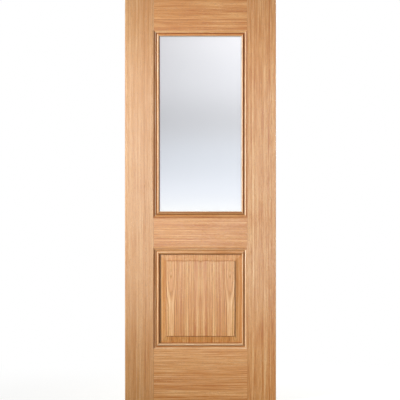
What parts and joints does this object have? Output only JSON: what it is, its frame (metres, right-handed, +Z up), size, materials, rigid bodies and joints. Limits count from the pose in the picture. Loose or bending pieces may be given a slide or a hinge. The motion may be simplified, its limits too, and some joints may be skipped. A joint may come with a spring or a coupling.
{
  "type": "glazed interior door leaf",
  "caption": "Oak interior door leaf with a tall frosted glass pane above a raised and fielded panel, both framed by mitred ovolo and bead mouldings on each face.",
  "frame": {"origin": "on the flat of the hinge edge, at the foot of the leaf and in mid thickness", "axes": "+X across the leaf from the hinge edge to the lock edge, +Y through it from the front face to the back face, +Z up"},
  "size_m": [0.762, 0.035, 2.032],
  "materials": {
    "oak_veneer": "satin clear lacquer on oak veneer",
    "oak_lipping": "satin clear lacquer on solid oak",
    "oak_moulding": "satin clear lacquer on solid oak",
    "oak_panel": "satin clear lacquer on oak veneer",
    "frosted_glass": "satin etched",
    "glazing_tape": "matt closed-cell foam",
    "setting_block": "matt moulded"
  },
  "bodies": {
    "root": {"back_glass_bead_bottom": "oak_moulding", "back_glass_bead_left": "oak_moulding", "back_glass_bead_right": "oak_moulding", "back_glass_bead_top": "oak_moulding", "back_glazing_tape_bottom": "glazing_tape", "back_glazing_tape_left": "glazing_tape", "back_glazing_tape_right": "glazing_tape", "back_glazing_tape_top": "glazing_tape", "back_panel_moulding_bottom": "oak_moulding", "back_panel_moulding_left": "oak_moulding", "back_panel_moulding_right": "oak_moulding", "back_panel_moulding_top": "oak_moulding", "bottom_rail": "oak_veneer", "front_glass_bead_bottom": "oak_moulding", "front_glass_bead_left": "oak_moulding", "front_glass_bead_right": "oak_moulding", "front_glass_bead_top": "oak_moulding", "front_glazing_tape_bottom": "glazing_tape", "front_glazing_tape_left": "glazing_tape", "front_glazing_tape_right": "glazing_tape", "front_glazing_tape_top": "glazing_tape", "front_panel_moulding_bottom": "oak_moulding", "front_panel_moulding_left": "oak_moulding", "front_panel_moulding_right": "oak_moulding", "front_panel_moulding_top": "oak_moulding", "glass_pane": "frosted_glass", "left_setting_block": "setting_block", "left_stile": "oak_veneer", "left_stile_lipping": "oak_lipping", "mid_rail": "oak_veneer", "raised_panel": "oak_panel", "right_setting_block": "setting_block", "right_stile": "oak_veneer", "right_stile_lipping": "oak_lipping", "top_rail": "oak_veneer"}
  },
  "joints": []
}
